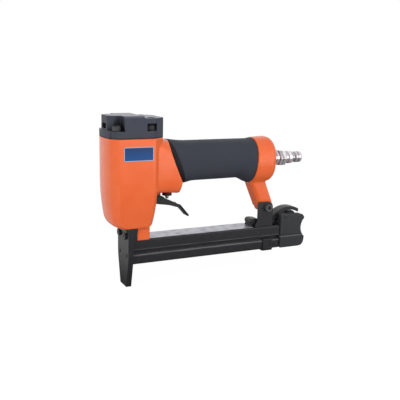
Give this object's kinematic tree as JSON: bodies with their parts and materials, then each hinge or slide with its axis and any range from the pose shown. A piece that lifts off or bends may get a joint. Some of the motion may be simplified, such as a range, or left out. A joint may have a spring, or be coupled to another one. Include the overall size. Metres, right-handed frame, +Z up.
{
  "type": "pneumatic upholstery stapler",
  "caption": "Pneumatic upholstery stapler: cast body with rubber grip, sprung trigger and long nose; its latched magazine tray pulls out to the rear for loading.",
  "frame": {"origin": "where the staple leaves the nose: centre of the driver slot at the tip's lower face", "axes": "+X to the rear along the magazine and the handle, +Z up along the cylinder axis, +Y to the tool's far side, away from the name plate"},
  "size_m": [0.2206, 0.0458, 0.165],
  "materials": {
    "orange_paint": "gloss enamel on a light alloy casting",
    "grip_rubber": "matt moulded rubber",
    "blue_plate": "printed plate, bare",
    "slate_coat": "satin coat on a light alloy casting",
    "seal_rubber": "moulded rubber",
    "black_steel": "blackened steel",
    "bright_steel": "bright steel",
    "alloy": "machined alloy",
    "nickel": "nickel plate",
    "brass": "turned",
    "bare_strip": "bare plate",
    "black_plastic": "moulded",
    "grey_plastic": "fine grain"
  },
  "bodies": {
    "tool": {"housing": "orange_paint", "grip_sleeve": "grip_rubber", "side_plate": "blue_plate", "cylinder_cap": "slate_coat", "cap_gasket": "seal_rubber", "cap_bolts": "black_steel", "cylinder_sleeve": "alloy", "sleeve_seal": "seal_rubber", "bumper": "seal_rubber", "head_valve_spring": "bright_steel", "air_plug": "nickel", "valve_sleeve": "brass", "valve_seals": "seal_rubber", "valve_spring": "bright_steel", "trigger_pin": "black_steel", "driver_guide": "black_steel", "nose_plate": "black_steel", "nose_bolts": "black_steel", "nose_rivets": "black_steel", "magazine_channel": "black_steel", "top_strip": "bare_strip", "rear_bracket": "black_steel", "bracket_bolt": "black_steel", "bracket_rivets": "black_steel", "toe_screw": "black_steel"},
    "driver": {"piston": "alloy", "piston_ring": "seal_rubber", "driver_blade": "bright_steel", "wrist_pin": "bright_steel"},
    "head_valve": {"head_valve": "black_plastic", "head_valve_ring": "seal_rubber"},
    "trigger": {"trigger": "black_steel"},
    "valve_stem": {"valve_stem": "bright_steel"},
    "tray": {"magazine_tray": "black_steel", "foot_clip": "black_steel", "pusher_rod": "bright_steel", "pusher_spring": "bright_steel", "tail_block": "grey_plastic", "latch_pin": "black_steel", "latch_spring": "black_steel"},
    "pusher": {"pusher": "bright_steel"},
    "latch": {"latch_lever": "black_steel"}
  },
  "joints": [
    {"name": "driver_stroke", "type": "slide", "parent": "tool", "child": "driver", "axis": [0, 0, -1], "range_m": [0, 0.0456]},
    {"name": "head_valve_lift", "type": "slide", "parent": "tool", "child": "head_valve", "axis": [0, 0, 1], "range_m": [0, 0.0024], "stiffness_N_per_m": 900, "deforming": ["head_valve_spring"]},
    {"name": "trigger_pull", "type": "hinge", "parent": "tool", "child": "trigger", "pos_m": [0.0296, 0, 0.0844], "axis": [0, -1, 0], "range_deg": [0, 7], "stiffness_Nm_per_rad": 0.8},
    {"name": "stem_push", "type": "slide", "parent": "tool", "child": "valve_stem", "axis": [0, 0, 1], "range_m": [0, 0.0015], "deforming": ["valve_spring"]},
    {"name": "tray_pull", "type": "slide", "parent": "tool", "child": "tray", "axis": [1, 0, 0], "range_m": [0, 0.1]},
    {"name": "pusher_slide", "type": "slide", "parent": "tray", "child": "pusher", "axis": [1, 0, 0], "range_m": [0, 0.095], "stiffness_N_per_m": 40, "deforming": ["pusher_spring"]},
    {"name": "latch_press", "type": "hinge", "parent": "tray", "child": "latch", "pos_m": [0.17275, 0, 0.0549], "axis": [0, 1, 0], "range_deg": [-7, 6], "stiffness_Nm_per_rad": 0.5, "deforming": ["latch_spring"]}
  ],
  "couplings": [
    {"joint": "stem_push", "follows": "trigger_pull", "m_per_rad": 0.012}
  ]
}
